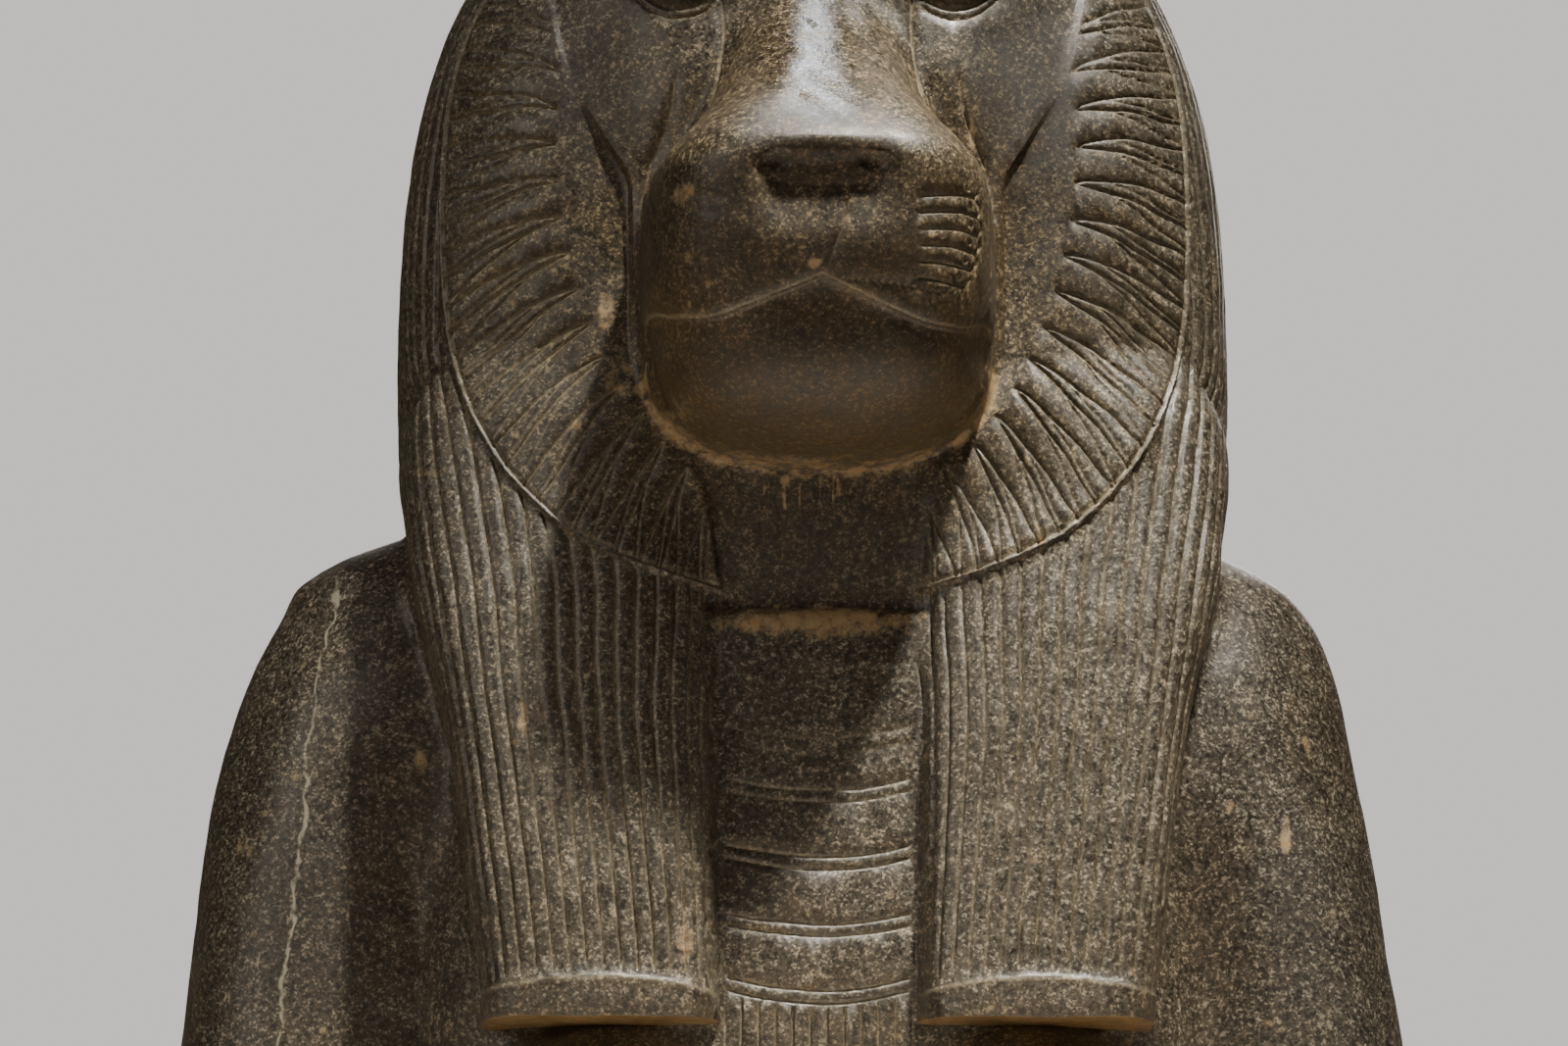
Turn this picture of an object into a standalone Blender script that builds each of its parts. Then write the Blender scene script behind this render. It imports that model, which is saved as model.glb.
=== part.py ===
# Bust of a lioness-headed goddess, carved from one block of dark stone.
# Metres, +Z up, the face looks along -Y. The block stands on its flat underside.
import bpy
import numpy as np

HEIGHT = 0.603
PART = HEIGHT / 603          # one part of the figure's height; every measure below is counted in parts
AXIS_BACK = (40, 20)         # how far behind the middle the measuring axis stands: at the base, at the crown
TRIANGLES = 9600             # the carving keeps this many

# heights of the main masses above the flat underside
LAPPET_END = 95
COLLAR_TOP = 257
CHIN_BOTTOM = 310
SHOULDER_TOP = 320
EYE_LEVEL = 513
PILLAR_TOP = 560

PILLAR_HALF_WIDTH = 72
PILLAR_BACK = 158            # the pillar's back, behind the middle

LAPPET_INNER = 38            # half the width of the collar that shows between the lappets
LAPPET_BAND = 15.5           # plain band at the foot of a lappet, in the lappet's middle
BAND_SAG = 5.5               # how much lower the band's upper line is at its ends
KNOWN_RIB = 12               # the rib whose course is given, counted from the inner edge
RIB_DEPTH = 1.7

RUFF_INNER = (102, 160, 451)     # half width, half height and middle of the ring where the locks start
RUFF_OUTER = (150, 168, 430)     # the same for the border
RUFF_TOP = 150                   # half height of the border above its middle
RUFF_SQUARENESS = 2.6
RUFF_HEIGHT = 1.6
RUFF_HOLLOW = 7                  # depth of the hollow between the jaw and the locks
LOCK_TURN = 7.8                  # degrees from lock to lock
LOCK_DEPTH = 1.7

COLLAR_LINES = (236.5, 210, 189.5, 185, 164, 159, 137.5, 133, 112.3, 107.5)
COLLAR_SAG = 5.5
COLLAR_DEPTH = 1.4
PETAL_PITCH = 6.5
PETAL_FOOT = 66

CUT_WIDTH = 3.2              # of every cut line
NOSE_PAD = (25.4, 10.5, 405.5, 2.4)     # half width, half height, middle, squareness
WHISKER_ROW = 6.3            # from row to row
WHISKER_FOOT = 367
EAR_RADII = (34, 35, 14)
EAR_PLACE = (112, -22, 550)


def through(level, *stations):
    """A smooth line through (level, value) stations, level and value in parts."""
    points = np.array(stations, float)
    xs, ys = points[:, 0], points[:, 1]
    gaps = np.diff(xs)
    slopes = np.diff(ys) / gaps
    ends = np.zeros(len(xs))
    ends[0], ends[-1] = slopes[0], slopes[-1]
    for i in range(1, len(xs) - 1):
        if slopes[i - 1] * slopes[i] > 0:
            near, far = 2 * gaps[i] + gaps[i - 1], gaps[i] + 2 * gaps[i - 1]
            ends[i] = (near + far) / (near / slopes[i - 1] + far / slopes[i])
    held = np.clip(level, xs[0], xs[-1])
    i = np.clip(np.searchsorted(xs, held, side="right") - 1, 0, len(xs) - 2)
    t = (held - xs[i]) / gaps[i]
    rise = ys[i + 1] - ys[i]
    bend = ends[i] * gaps[i] * (t - 2 * t**2 + t**3) + ends[i + 1] * gaps[i] * (t**3 - t**2)
    return ys[i] + rise * (3 * t**2 - 2 * t**3) + bend


def rounding(t, power):
    """From 1 at t = 0 down to 0 at t = 1, as a superellipse falls."""
    return (1 - np.clip(t, 0, 1) ** power) ** (1 / power)


def ease(value, low, high):
    """0 below low, 1 above high and smooth between."""
    t = np.clip((value - low) / (high - low), 0, 1)
    return t * t * (3 - 2 * t)


def merge(a, b, blend):
    """The nearer of two surfaces, with a fillet about a quarter of the blend deep."""
    near = np.maximum(blend - np.abs(a - b), 0) / blend
    return np.minimum(a, b) - near * near * blend / 4


def gauge(x, z, halfWidth, halfHeight, middle, power):
    """1 on an oval outline in the front view, less inside it, more outside it."""
    return ((np.abs(x) / halfWidth) ** power + (np.abs(z - middle) / halfHeight) ** power) ** (1 / power)


def torso(z):
    return dict(low=-1, high=COLLAR_TOP + 4, middle=0, power=2.5, blend=8,
                width=through(z, (0, 158), (100, 163), (170, 160), (230, 140), (256, 110), (262, 60)),
                front=through(z, (0, 98), (60, 102), (110, 103), (180, 99), (250, 94.5), (254, 93),
                              (257, 89), (260, 70), (262, 40)),
                back=through(z, (0, 98), (150, 104), (250, 95), (262, 60)))


def arms(z):
    top = rounding((z - 150) / 138, 2.0)
    half = through(z, (0, 50), (120, 48), (175, 47)) * top
    depth = through(z, (0, 62), (120, 60), (175, 58)) * top
    left = through(z, (0, 257), (95, 251), (125, 248), (160, 242), (193, 233), (230, 218), (260, 196),
                   (288, 170))
    right = through(z, (0, 242), (95, 235), (139, 227), (170, 220), (193, 212), (230, 200), (260, 184),
                    (288, 160))
    return dict(low=-1, high=287, middle=-2, power=2.2, pair=True, width=half, front=depth, back=depth,
                offset=(left - half, right - half),
                blend=through(z, (0, 10), (120, 12), (180, 26), (240, 45)))


def shoulders(z):
    left = through(z, (105, 100), (130, 175), (160, 222), (193, 237), (230, 232), (254, 223), (270, 215),
                   (279, 211), (287, 201), (293, 190), (302, 166), (312, 120), (320, 40))
    right = through(z, (105, 100), (130, 170), (160, 206), (193, 218), (230, 215), (254, 209), (270, 201),
                    (279, 194), (287, 183), (293, 172), (302, 150), (312, 110), (320, 40))
    depth = through(z, (105, 10), (130, 24), (160, 42), (200, 56), (235, 61), (265, 58), (285, 49),
                    (300, 37), (312, 24), (320, 12))
    return dict(low=105, high=SHOULDER_TOP, middle=3, power=2.6, blend=16, width=left, otherWidth=right,
                front=depth, back=depth * 1.15)


def breasts(z):
    swell = rounding(np.abs(z - 46) / 49, 2)
    return dict(low=-3, high=LAPPET_END, middle=-85, power=2.0, pair=True, blend=12, width=56 * swell,
                front=43 * swell, back=43 * swell, offset=(80, 80))


def wigWidth(z):
    below = through(z, (150, 100), (185, 135), (230, 149), (256, 156), (280, 159.5), (300, 164),
                    (330, 168.5), (365, 170))
    return np.where(z < 365, below, 170 * rounding((z - 365) / 238, 2.75))


def wig(z):
    dome = rounding((z - 420) / 183, 2.5)
    return dict(low=150, high=603, middle=6, blend=3, width=wigWidth(z),
                power=through(z, (180, 3.0), (300, 3.0), (440, 2.8), (560, 2.3), (603, 2.1)),
                front=dome * through(z, (150, 20), (200, 55), (256, 92), (290, 97), (330, 101), (400, 104),
                                     (430, 106), (603, 112)),
                back=dome * through(z, (150, 30), (200, 70), (260, 98), (340, 116), (420, 124)))


def lappetOuter(z):
    return through(z, (95, 128), (107, 129), (140, 134), (180, 139), (220, 146), (250, 154), (280, 160),
                   (305, 161), (330, 154), (350, 142), (380, 112))


def lappetFront(z):
    return through(z, (95, 66), (140, 63), (180, 59), (220, 54), (250, 49), (280, 42.5), (300, 38.5),
                   (320, 34), (350, 24), (380, 8))


def lappets(z):
    outer = lappetOuter(z)
    inner = through(z, (95, LAPPET_INNER), (300, LAPPET_INNER), (340, 48), (380, 84))
    middle = (outer + inner) / 2
    return dict(low=LAPPET_END, high=380, middle=-60, pair=True, width=(outer - inner) / 2,
                offset=(middle, middle), front=lappetFront(z), back=42,
                power=through(z, (95, 5.5), (200, 4.5), (250, 3.6), (300, 2.8), (380, 2.4)),
                blend=through(z, (95, 3), (230, 4), (300, 14), (340, 24)))


def faceWidth(z):
    return through(z, (395, 50), (425, 70), (445, 81), (465, 92), (485, 98), (505, 102), (530, 104),
                   (560, 98), (580, 85), (592, 60), (598, 30))


def face(z):
    return dict(low=395, high=598, middle=-30, power=3.8, blend=3, width=faceWidth(z), back=40,
                front=through(z, (395, 40), (415, 66), (425, 72), (445, 78), (465, 79), (500, 75),
                              (530, 76), (545, 75), (560, 68), (575, 54), (588, 32), (598, 5)))


def snout(z):
    chin = (350 - z) / (350 - CHIN_BOTTOM)
    width = through(z, (310, 68), (348, 69), (385, 70), (404, 69.5), (414, 68), (421, 66.5), (430, 61.5),
                    (440, 54), (450, 47.5), (461, 43.5), (490, 37), (510, 35), (530, 37), (550, 44),
                    (590, 50))
    front = through(z, (310, 122), (330, 123), (345, 124.5), (356, 126.5), (366, 129.5), (380, 133.5),
                    (396, 138), (404, 140.3), (409, 141), (413, 140.6), (417, 139), (421, 135.8), (426, 131),
                    (436, 121), (461, 94), (480, 77), (500, 61), (520, 52.5), (540, 52), (555, 46),
                    (575, 30), (592, 5))
    return dict(low=CHIN_BOTTOM, high=592, middle=-50, blend=6, back=40,
                width=width * rounding(chin, 2.4), front=front * rounding(chin, 2.8),
                power=through(z, (310, 2.3), (330, 2.7), (350, 3.1), (380, 3.7), (410, 3.7), (430, 3.3),
                              (461, 3.0), (520, 2.5)))


def loftDistance(x, y, loft):
    """About how far a point lies outside a stack of superellipse sections."""
    left, right = loft.get("offset", (0, 0))
    across = np.abs(x) - np.where(x < 0, left, right) if loft.get("pair") else x
    width = np.where(x < 0, loft["width"], loft.get("otherWidth", loft["width"]))
    back = y - loft["middle"]
    depth = np.where(back < 0, loft["front"], loft["back"])
    width, depth = np.maximum(width, 0.1), np.maximum(depth, 0.1)
    power = loft["power"]
    size = ((np.abs(across) / width) ** power + (np.abs(back) / depth) ** power) ** (1 / power)
    return (size - 1) * np.minimum(width, depth)


def earDistance(x, y, z):
    """A round ear, a flattened ball turned half outward."""
    turn = 0.8
    across, back, up = np.abs(x) - EAR_PLACE[0], y - EAR_PLACE[1], z - EAR_PLACE[2]
    along = across * np.cos(turn) + back * np.sin(turn)
    thick = back * np.cos(turn) - across * np.sin(turn)
    wide, tall, thin = EAR_RADII
    return (np.sqrt((along / wide) ** 2 + (up / tall) ** 2 + (thick / thin) ** 2) - 1) * thin


def pillarDistance(x, y, z):
    middle = 90
    sides = np.maximum(np.abs(x) - PILLAR_HALF_WIDTH, np.abs(y - middle) - (PILLAR_BACK - middle))
    return np.where(z < PILLAR_TOP, sides, 100)


LOFTS = (torso, arms, shoulders, breasts, wig, lappets, face, snout)


def surfaceDistance(x, y, z, lofts):
    """About how far points lie outside the block; one row of points to a level."""
    distance = np.full(x.shape, 100.0)
    for loft in lofts:
        rows = loft["rows"]
        near = loftDistance(x[rows], y[rows], loft)
        distance[rows] = merge(distance[rows], near, loft["blend"])
    distance = merge(distance, earDistance(x, y, z), 8)
    return merge(distance, pillarDistance(x, y, z), 3)


def sectionsAt(levels):
    """Every loft with its sizes on the levels that it spans, as columns."""
    found = []
    for makeLoft in LOFTS:
        loft = makeLoft(levels)
        rows = np.nonzero((levels >= loft["low"]) & (levels < loft["high"]))[0]
        for key, value in loft.items():
            if key == "offset":
                loft[key] = tuple((side + 0 * levels)[rows, None] for side in value)
            elif key not in ("low", "high", "middle", "pair"):
                loft[key] = (value + 0 * levels)[rows, None]
        loft["rows"] = rows
        found.append(loft)
    return found


def bareSurface(levels, bearings):
    """Points of the uncarved block: each level's outline, found by walking in from outside."""
    lofts = sectionsAt(levels)
    z = levels[:, None] + 0 * bearings
    startBack = AXIS_BACK[0] - (AXIS_BACK[0] - AXIS_BACK[1]) * ease(z, 420, 560)
    outward = np.full(z.shape, 360.0)
    for _ in range(45):
        x = outward * np.sin(bearings)
        y = startBack - outward * np.cos(bearings)
        outward -= 0.9 * np.clip(surfaceDistance(x, y, z, lofts), -20, 50)
        outward = np.maximum(outward, 0.5)
    return np.stack([outward * np.sin(bearings), startBack - outward * np.cos(bearings), z])


def normals(points):
    around = np.roll(points, -1, 2) - np.roll(points, 1, 2)
    upward = np.gradient(points, axis=1)
    out = np.cross(around, upward, axis=0)
    return out / np.maximum(np.linalg.norm(out, axis=0), 1e-9)


def cut(distance, width):
    """A V groove: 1 on its line, 0 from half its width away."""
    return np.clip(1 - np.abs(distance) / (width / 2), 0, 1)


def ribNumber(points):
    """Which rib of the wig a point lies on, counted outward from the lappet's inner edge."""
    x, y, z = points
    levels = z[:, 0]
    rows = np.arange(len(levels))
    narrowing = np.where(levels < 365, 1, np.maximum(wigWidth(levels), 30) / 170)
    known = narrowing * through(levels, (95, 111), (107, 112), (180, 121.5), (240, 130.5), (262, 133),
                                (296, 139), (330, 144.5), (376, 152), (603, 152))
    pitch = narrowing * through(levels, (95, 6.2), (200, 6.9), (250, 7.7), (300, 8.3), (400, 9), (603, 9))
    front = np.argmin(np.abs(x[0]) + (y[0] > 0) * 999)
    number = np.zeros_like(x)
    columns = x.shape[1]
    for side in (1, -1):
        order = (front + side * np.arange(columns // 2 + 1)) % columns
        sideX, sideY = np.abs(x[:, order]), y[:, order]
        run = np.hypot(np.diff(sideX, axis=1), np.diff(sideY, axis=1))
        run = np.concatenate([np.zeros((len(rows), 1)), np.cumsum(run, axis=1)], axis=1)
        past = np.maximum(np.argmax(sideX > known[:, None], axis=1), 1)
        before, after = sideX[rows, past - 1], sideX[rows, past]
        share = np.clip((known - before) / np.maximum(after - before, 1e-6), 0, 1)
        start = run[rows, past - 1] + share * (run[rows, past] - run[rows, past - 1])
        number[:, order] = KNOWN_RIB + (run - start[:, None]) / pitch[:, None]
    return number


def footLine(across):
    """The arched line above a lappet's plain band."""
    line = LAPPET_END + LAPPET_BAND - BAND_SAG * ((across - 83) / 45) ** 2
    return np.maximum(line, LAPPET_END + 9)


def ribs(points, outsideRuff):
    """Narrow ribs from the crown down to the lappets' bands, each parted from the next by a valley."""
    x, y, z = points
    across = np.abs(x)
    foot = footLine(across)
    outer = np.where(z < 340, through(z, (95, 128), (140, 134), (180, 139), (220, 146), (250, 155),
                                      (280, 163), (300, 168), (340, 172)), 400)
    onWig = ease(across, LAPPET_INNER - 1, LAPPET_INNER + 1) * (1 - ease(across, outer + 1, outer + 3))
    onWig *= np.maximum(ease(-y, 40, 50), ease(z, 305, 315)) * (1 - ease(z, 560, 590))
    onWig *= 1 - ease(y, 30, 60) * (1 - ease(z, 330, 350))
    onWig *= ease(z, foot - 0.5, foot + 1) * outsideRuff
    onWig[(across < faceWidth(z) + 4) & (y < -20) & (z > 290)] = 0
    valley = np.abs(np.sin(np.pi * ribNumber(points))) ** 0.65 - 1
    onLappet = ease(across, 38, 40) * (1 - ease(across, 127, 131)) * ease(-y, 60, 80)
    return RIB_DEPTH * (onWig * valley - 0.9 * cut(z - foot, CUT_WIDTH) * onLappet)


def locks(x, z, share, jaw):
    """The ruff's locks: two lines open out from each root, and a finer one crosses each gap."""
    turn = np.degrees(np.arctan2(np.abs(x) / RUFF_INNER[0], (441 - z) / RUFF_INNER[1])) / LOCK_TURN
    width = np.radians(LOCK_TURN) * np.hypot(x, z - 441)
    lines = np.zeros_like(x)
    spread = 0.25 * share ** 0.75
    outer = np.clip((share - 0.42) / 0.58, 0, 1)
    for root in (-1, 0, 1):
        place = turn - np.floor(turn) - root - 0.12 * np.sin(np.pi * share)
        for line in (spread, -spread):
            lines = np.maximum(lines, cut((place - line) * width, CUT_WIDTH))
        for high, low in ((0.13, -0.17), (0.87, 0.33)):
            fine = cut((place - high + (high - low) * outer) * width, CUT_WIDTH * 0.8)
            lines = np.maximum(lines, 0.75 * fine * ease(outer, 0, 0.05))
    return lines * ease(share, 0.0, 0.05) * ease(np.abs(x), jaw + 2, jaw + 5)


def ruff(points, jaw):
    """The mane's disc round the face: raised a little, hollow beside the jaw, cut into locks."""
    x, y, z = points
    inner = gauge(x, z, *RUFF_INNER, 2.0)
    halfHeight = np.where(z < RUFF_OUTER[2], RUFF_OUTER[1], RUFF_TOP)
    outer = gauge(x, z, RUFF_OUTER[0], halfHeight, RUFF_OUTER[2], RUFF_SQUARENESS)
    forward = ease(-y, 20, 40) * ease(z, 262, 264)
    outside = 1 - (1 - ease(outer, 1.0, 1.01)) * forward
    edge = np.maximum(jaw, LAPPET_INNER - 2)
    beside = ease(np.abs(x), edge, edge + 3)
    within = (1 - ease(outer, 0.998, 1.006)) * forward * beside
    share = np.maximum(inner - 1, 0) / (np.maximum(inner - 1, 0) + 0.75 * np.maximum(1 - outer, 0) + 1e-6)
    height = RUFF_HEIGHT * within
    height -= 1.5 * cut(outer - 0.986, 0.02) * forward * beside
    height -= RUFF_HOLLOW * (1 - ease(inner, 0.78, 1.05)) * ease(-y, 20, 40) * ease(z, 250, 300) * beside
    height -= LOCK_DEPTH * locks(x, z, share, jaw) * within * (share < 0.985)
    return height, outside


def collar(points):
    """Pairs of sagging lines, and below them a row of long petals."""
    x, y, z = points
    between = (1 - ease(np.abs(x), 34.5, 36.5)) * ease(-y, 60, 80)
    level = z + COLLAR_SAG * (1 - (x / LAPPET_INNER) ** 2)
    lines = np.zeros_like(x)
    for line in COLLAR_LINES + (PETAL_FOOT,):
        lines = np.maximum(lines, cut(level - line, 0.8 * CUT_WIDTH))
    lowest = COLLAR_LINES[-1]
    petals = cut((x / PETAL_PITCH) % 1 - 0.5, 0.36)
    petals *= (1 - ease(level, lowest - 3, lowest - 1)) * ease(level, PETAL_FOOT, PETAL_FOOT + 2)
    return -COLLAR_DEPTH * between * np.maximum(lines, petals)


def lips(points):
    """The line of the mouth with the chin set back below it, and the groove up to the nose."""
    x, y, z = points
    across = np.abs(x)
    lip = through(across, (0, 367.8), (10, 363.3), (20, 359.2), (31, 355.3), (42, 353), (50, 354), (57, 356),
                  (64, 361), (72, 365)) - 0.03 * x
    onJaw = ease(-y, 105, 112) * (1 - ease(across, 68, 76)) * (z < 420)
    height = -3.4 * onJaw * (1 - ease(z, lip - 2.5, lip + 0.3)) * ease(z, 312, 342)
    height -= 1.8 * onJaw * cut(z - lip, CUT_WIDTH)
    groove = cut(x - 2 - 7 * ease(z, 368, 392), CUT_WIDTH) * ease(z, 366, 368) * (1 - ease(z, 393, 395))
    return height - 1.4 * ease(-y, 120, 135) * groove


def nose(points):
    """A raised pad with two nostrils."""
    x, y, z = points
    ahead = ease(-y, 120, 135)
    pad = gauge(x - 1, z, *NOSE_PAD)
    fromMiddle = np.abs(x - 1) - 18
    nostril = np.hypot(fromMiddle / 7.0, (z - 404 + fromMiddle * 0.2) / 3.4)
    return ahead * (1.6 * (1 - ease(pad, 0.88, 1.04)) * (z < 425) - 3.6 * (1 - ease(nostril, 0.3, 1.1)))


def whiskers(points):
    """Six cut rows on each side of the mouth."""
    x, y, z = points
    across = np.abs(x)
    tilted = z - (across - 47) * 0.24 * np.clip((z - WHISKER_FOOT) / 32, 0, 1)
    rows = cut(((tilted - WHISKER_FOOT) / WHISKER_ROW + 0.5) % 1 - 0.5, 0.42)
    rows *= ease(tilted, WHISKER_FOOT - 3, WHISKER_FOOT - 1) * (1 - ease(tilted, 401.5, 402.5))
    end = through(z, (357, 46), (362, 49), (366, 53), (372, 56), (379, 58.5), (392, 60), (406, 58))
    return -1.3 * ease(-y, 120, 135) * rows * ease(across, 35, 38) * (1 - ease(across, end, end + 1.5))


def eyes(points):
    """Almond eyes with a cut line round them, the brow above and the line down to the muzzle."""
    x, y, z = points
    across = np.abs(x)
    onFace = ease(-y, 20, 40) * (z > 410) * (z < 598)
    middle = EYE_LEVEL + (across - 38) * 0.12
    lid = np.sin(np.pi * np.clip((across - 37) / 38, 0, 1)) ** 0.75
    above = z > middle
    reach = np.where(above, 14, 12) * lid
    away = np.abs(z - middle)
    between = ease(across, 36, 38) * (1 - ease(across, 75, 79))
    height = 2.4 * np.sqrt(np.clip(1 - (away / np.maximum(reach, 0.1)) ** 2, 0, 1)) * between
    height -= 1.9 * cut(away - reach - 1, 0.9 * CUT_WIDTH) * between
    height -= 1.4 * cut(away - reach - 5.4, 0.8 * CUT_WIDTH) * between * ease(across, 40, 44)
    brow = 538 + 5 * np.sin(np.pi * np.clip((across - 20) / 75, 0, 1))
    height += 3 * np.exp(-((z - brow) / 6.5) ** 2) * ease(across, 12, 26) * (1 - ease(across, 82, 98))
    tear = through(z, (408, 68), (421, 65.6), (430, 60.4), (439, 52.5), (446, 46.5), (461, 40.6),
                   (490, 37), (503, 38))
    height -= 1.5 * cut(across - tear, 0.9 * CUT_WIDTH) * (z < 502)
    return onFace * height


def carvedSurface(levels, bearings):
    points = bareSurface(levels, bearings)
    z = points[2]
    jaw = through(z, (262, 36), (300, 42), (311, 46), (319, 48), (332, 64), (345, 70), (356, 72),
                  (425, 72.5), (445, 83), (465, 94), (485, 100), (505, 104), (530, 106), (560, 100),
                  (580, 87), (592, 62))
    maneHeight, outsideRuff = ruff(points, jaw)
    height = maneHeight + ribs(points, outsideRuff) + collar(points)
    height += lips(points) + nose(points) + whiskers(points) + eyes(points)
    return points + normals(points) * height


def rowLevels():
    """Levels close together where there is carving, and on both sides of each ledge."""
    crown = 540 + 63 * np.sin(np.arange(0, 1, 0.04) * np.pi / 2)
    return np.concatenate([np.arange(0, 88, 6), (91, LAPPET_END - 0.3, LAPPET_END + 0.3),
                           np.arange(97, 252, 1.6), np.arange(252, 264, 1.0), np.arange(264, 540, 1.6),
                           crown, (602.8,)])


def columnBearings():
    """Bearings round the axis, from straight ahead; close together in front."""
    half = np.concatenate([np.arange(0, 22, 0.35), np.arange(22, 82, 0.45), np.arange(82, 178, 3)])
    return np.radians(np.concatenate([-half[::-1], half[1:], [180]]))


def buildStatue():
    levels, bearings = rowLevels(), columnBearings()
    points = carvedSurface(levels, bearings)
    low, high = points.min(axis=(1, 2)), points.max(axis=(1, 2))
    centre = np.array([(low[0] + high[0]) / 2, (low[1] + high[1]) / 2, 0])
    rows, columns = points.shape[1:]
    corners = (points.reshape(3, -1).T - centre) * PART
    ends = (np.array([[0, AXIS_BACK[0], 0], [0, AXIS_BACK[1], 603]]) - centre) * PART
    index = np.arange(rows * columns).reshape(rows, columns)
    after = np.roll(index, -1, axis=1)
    sides = np.stack([index[:-1], after[:-1], after[1:], index[1:]], axis=-1).reshape(-1, 4)
    foot, crown = rows * columns, rows * columns + 1
    faces = [tuple(face) for face in sides.tolist()]
    faces += [(foot, b, a) for a, b in zip(index[0].tolist(), after[0].tolist())]
    faces += [(crown, a, b) for a, b in zip(index[-1].tolist(), after[-1].tolist())]
    mesh = bpy.data.meshes.new("statue")
    mesh.from_pydata(np.vstack([corners, ends]).tolist(), [], faces)
    statue = bpy.data.objects.new("statue", mesh)
    bpy.context.scene.collection.objects.link(statue)
    mesh.shade_smooth()
    fewer = statue.modifiers.new("facets", "DECIMATE")
    fewer.ratio = TRIANGLES / (2 * len(sides) + 2 * columns)
    mesh.materials.append(graniteMaterial())
    return statue


def graniteMaterial():
    material = bpy.data.materials.new("dark granodiorite")
    material.use_nodes = True
    shader = material.node_tree.nodes["Principled BSDF"]
    shader.inputs["Base Color"].default_value = (0.075, 0.062, 0.050, 1)
    shader.inputs["Roughness"].default_value = 0.42
    shader.inputs["Metallic"].default_value = 0
    return material


for thing in list(bpy.data.objects):
    bpy.data.objects.remove(thing)
buildStatue()
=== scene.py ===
# Bust of a lioness-headed goddess, carved from one block of dark granodiorite.
# The carving is counted in parts: one part is a 603rd of the statue's height, about a millimetre.
import math
import time

import bpy
import numpy as np
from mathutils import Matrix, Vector


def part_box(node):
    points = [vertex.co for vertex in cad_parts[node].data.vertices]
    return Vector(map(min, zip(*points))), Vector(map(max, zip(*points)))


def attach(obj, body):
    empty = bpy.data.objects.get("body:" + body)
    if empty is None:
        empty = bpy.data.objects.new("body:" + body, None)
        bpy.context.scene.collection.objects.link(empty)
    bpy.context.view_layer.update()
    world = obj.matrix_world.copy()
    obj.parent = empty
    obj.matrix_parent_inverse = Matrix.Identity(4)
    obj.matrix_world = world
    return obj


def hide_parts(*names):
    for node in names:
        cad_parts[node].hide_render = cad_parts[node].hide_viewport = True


startTime = time.time()
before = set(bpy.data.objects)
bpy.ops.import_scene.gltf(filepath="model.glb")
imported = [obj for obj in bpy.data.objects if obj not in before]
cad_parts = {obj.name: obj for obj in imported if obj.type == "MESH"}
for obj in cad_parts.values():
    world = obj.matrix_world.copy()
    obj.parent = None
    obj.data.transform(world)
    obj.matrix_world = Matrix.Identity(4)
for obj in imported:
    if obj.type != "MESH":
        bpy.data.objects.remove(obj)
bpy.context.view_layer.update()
cadLow, cadHigh = (np.array(corner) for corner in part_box("statue"))


def report(stage):
    print("%-36s %5.1f s" % (stage, time.time() - startTime))


report("frame loaded")


# Smooth numbers

def through(level, *stations):
    # a monotone cubic through (level, value) stations, flat beyond the first and the last
    points = np.array(stations, float)
    xs, ys = points[:, 0], points[:, 1]
    gaps = np.diff(xs)
    slopes = np.diff(ys) / gaps
    ends = np.zeros(len(xs))
    ends[0], ends[-1] = slopes[0], slopes[-1]
    for i in range(1, len(xs) - 1):
        if slopes[i - 1] * slopes[i] > 0:
            near, far = 2 * gaps[i] + gaps[i - 1], gaps[i] + 2 * gaps[i - 1]
            ends[i] = (near + far) / (near / slopes[i - 1] + far / slopes[i])
    held = np.clip(level, xs[0], xs[-1])
    i = np.clip(np.searchsorted(xs, held, side="right") - 1, 0, len(xs) - 2)
    t = (held - xs[i]) / gaps[i]
    bend = ends[i] * gaps[i] * (t - 2 * t**2 + t**3) + ends[i + 1] * gaps[i] * (t**3 - t**2)
    return ys[i] + (ys[i + 1] - ys[i]) * (3 * t**2 - 2 * t**3) + bend


def rounding(t, power):
    # from 1 at t = 0 to 0 at t = 1, as a superellipse falls
    return (1 - np.clip(t, 0, 1) ** power) ** (1 / power)


def ease(value, low, high):
    # 0 below low, 1 above high, 3t^2 - 2t^3 between
    t = np.clip((value - low) / (high - low), 0, 1)
    return t * t * (3 - 2 * t)


def merge(a, b, blend):
    # the smaller distance, lowered by up to a quarter of the blend where the two are alike
    near = np.maximum(blend - np.abs(a - b), 0) / blend
    return np.minimum(a, b) - near * near * blend / 4


def gauge(x, z, halfWidth, halfHeight, middle, power):
    # superellipse of the front view: 1 on its outline, less inside
    return ((np.abs(x) / halfWidth) ** power + (np.abs(z - middle) / halfHeight) ** power) ** (1 / power)


def cut(distance, width):
    # a rounded V: 1 on the line, falling as a cosine to 0 at half the width
    t = np.clip(np.abs(distance) / (width / 2), 0, 1)
    return 0.5 * (1 - t) + 0.25 * (1 + np.cos(np.pi * t))


def waves(points, length, seed, count=7):
    # gentle unevenness: the mean of plane sine waves about `length` parts long, in seeded directions
    chance = np.random.default_rng(seed)
    total = np.zeros_like(points[0])
    for _ in range(count):
        way = chance.normal(size=3)
        way *= 2 * np.pi / (length * chance.uniform(0.7, 1.5) * np.linalg.norm(way))
        start = chance.uniform(0, 6.3)
        total += np.sin(way[0] * points[0] + way[1] * points[1] + way[2] * points[2] + start)
    return total / count ** 0.5


# The uncarved block: superellipse sections stacked along z, merged with small fillets

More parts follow.
